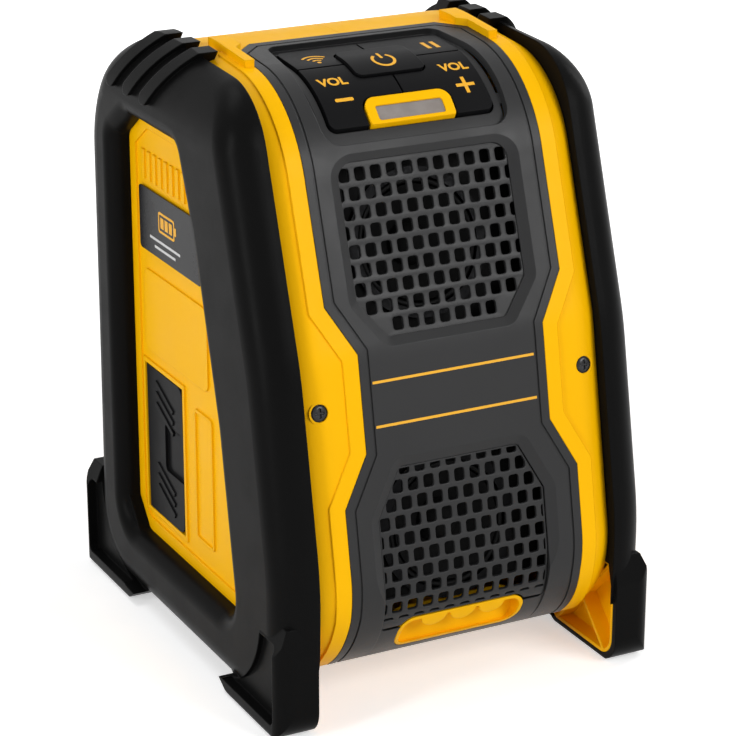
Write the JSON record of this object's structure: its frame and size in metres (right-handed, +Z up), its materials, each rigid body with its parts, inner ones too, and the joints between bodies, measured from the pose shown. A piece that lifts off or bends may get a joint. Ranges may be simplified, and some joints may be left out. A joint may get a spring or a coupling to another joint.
{
  "type": "bluetooth speaker",
  "caption": "Rugged yellow and black portable wireless speaker with two grilles, a keypad on the brow, bumper guards with feet, a socket door and a battery bay at the back.",
  "frame": {"origin": "on the ground under the middle of the speaker, at the centre of its outer box", "axes": "+Z up, -Y out of the front grilles, +X to the right of someone facing the front"},
  "size_m": [0.176, 0.21, 0.2619],
  "materials": {
    "yellow_shell": "semi-gloss moulded",
    "black_panel": "satin moulded",
    "black_guard": "soft satin",
    "black_key": "satin moulded",
    "black_inner": "matte",
    "clear_lens": "frosted, translucent",
    "circuit_board": "solder mask",
    "steel_pin": "plain",
    "label_film": "printed film",
    "brass_contact": "plated",
    "bare_aluminium": "satin",
    "black_screw": "black oxide",
    "black_steel": "black coat",
    "rubber_surround": "matte",
    "paper_cone": "matte",
    "iron_magnet": "ferrite, matte"
  },
  "bodies": {
    "speaker": {"left_housing": "yellow_shell", "right_housing": "yellow_shell", "finger_scoop": "yellow_shell", "lens_bezel": "yellow_shell", "front_panel": "black_panel", "upper_grille": "black_panel", "lower_grille": "black_panel", "left_guard": "black_guard", "right_guard": "black_guard", "status_lens": "clear_lens", "keypad_board": "circuit_board", "main_board": "circuit_board", "status_led": "clear_lens", "key_switches": "black_inner", "baffle": "black_inner", "port_hinge_pin": "steel_pin", "aux_socket": "black_inner", "power_socket": "black_inner", "label_plate": "label_film", "terminal_block": "black_inner", "terminal_blades": "brass_contact", "heat_sink": "bare_aluminium", "capacitors": "bare_aluminium", "front_screws": "black_screw", "rear_screws": "black_screw", "upper_speaker_basket": "black_steel", "upper_speaker_surround": "rubber_surround", "upper_speaker_magnet": "iron_magnet", "upper_speaker_yoke": "steel_pin", "lower_speaker_basket": "black_steel", "lower_speaker_surround": "rubber_surround", "lower_speaker_magnet": "iron_magnet", "lower_speaker_yoke": "steel_pin"},
    "power_key": {"power_key": "black_key"},
    "pause_key": {"pause_key": "black_key"},
    "pairing_key": {"pairing_key": "black_key"},
    "volume_up_key": {"volume_up_key": "black_key"},
    "volume_down_key": {"volume_down_key": "black_key"},
    "upper_speaker_cone": {"upper_speaker_cone": "paper_cone"},
    "lower_speaker_cone": {"lower_speaker_cone": "paper_cone"},
    "port_cover": {"port_cover": "black_key"}
  },
  "joints": [
    {"name": "power_key_press", "type": "slide", "parent": "speaker", "child": "power_key", "axis": [0, 0.515, -0.8572], "range_m": [0, 0.0008], "stiffness_N_per_m": 1500, "springref_m": -0.0004},
    {"name": "pause_key_press", "type": "slide", "parent": "speaker", "child": "pause_key", "axis": [0, 0.515, -0.8572], "range_m": [0, 0.0008], "stiffness_N_per_m": 1500, "springref_m": -0.0004},
    {"name": "pairing_key_press", "type": "slide", "parent": "speaker", "child": "pairing_key", "axis": [0, 0.515, -0.8572], "range_m": [0, 0.0008], "stiffness_N_per_m": 1500, "springref_m": -0.0004},
    {"name": "volume_up_key_press", "type": "slide", "parent": "speaker", "child": "volume_up_key", "axis": [0, 0.515, -0.8572], "range_m": [0, 0.0008], "stiffness_N_per_m": 1500, "springref_m": -0.0004},
    {"name": "volume_down_key_press", "type": "slide", "parent": "speaker", "child": "volume_down_key", "axis": [0, 0.515, -0.8572], "range_m": [0, 0.0008], "stiffness_N_per_m": 1500, "springref_m": -0.0004},
    {"name": "upper_speaker_cone_stroke", "type": "slide", "parent": "speaker", "child": "upper_speaker_cone", "axis": [0, -0.9465, 0.3228], "range_m": [-0.0015, 0.0015], "stiffness_N_per_m": 1200},
    {"name": "lower_speaker_cone_stroke", "type": "slide", "parent": "speaker", "child": "lower_speaker_cone", "axis": [0, -0.9828, 0.1849], "range_m": [-0.0015, 0.0015], "stiffness_N_per_m": 1200},
    {"name": "port_cover_hinge", "type": "hinge", "parent": "speaker", "child": "port_cover", "pos_m": [-0.0738, 0.0511, 0.0779], "axis": [0, 0, -1], "range_deg": [0, 95]}
  ]
}
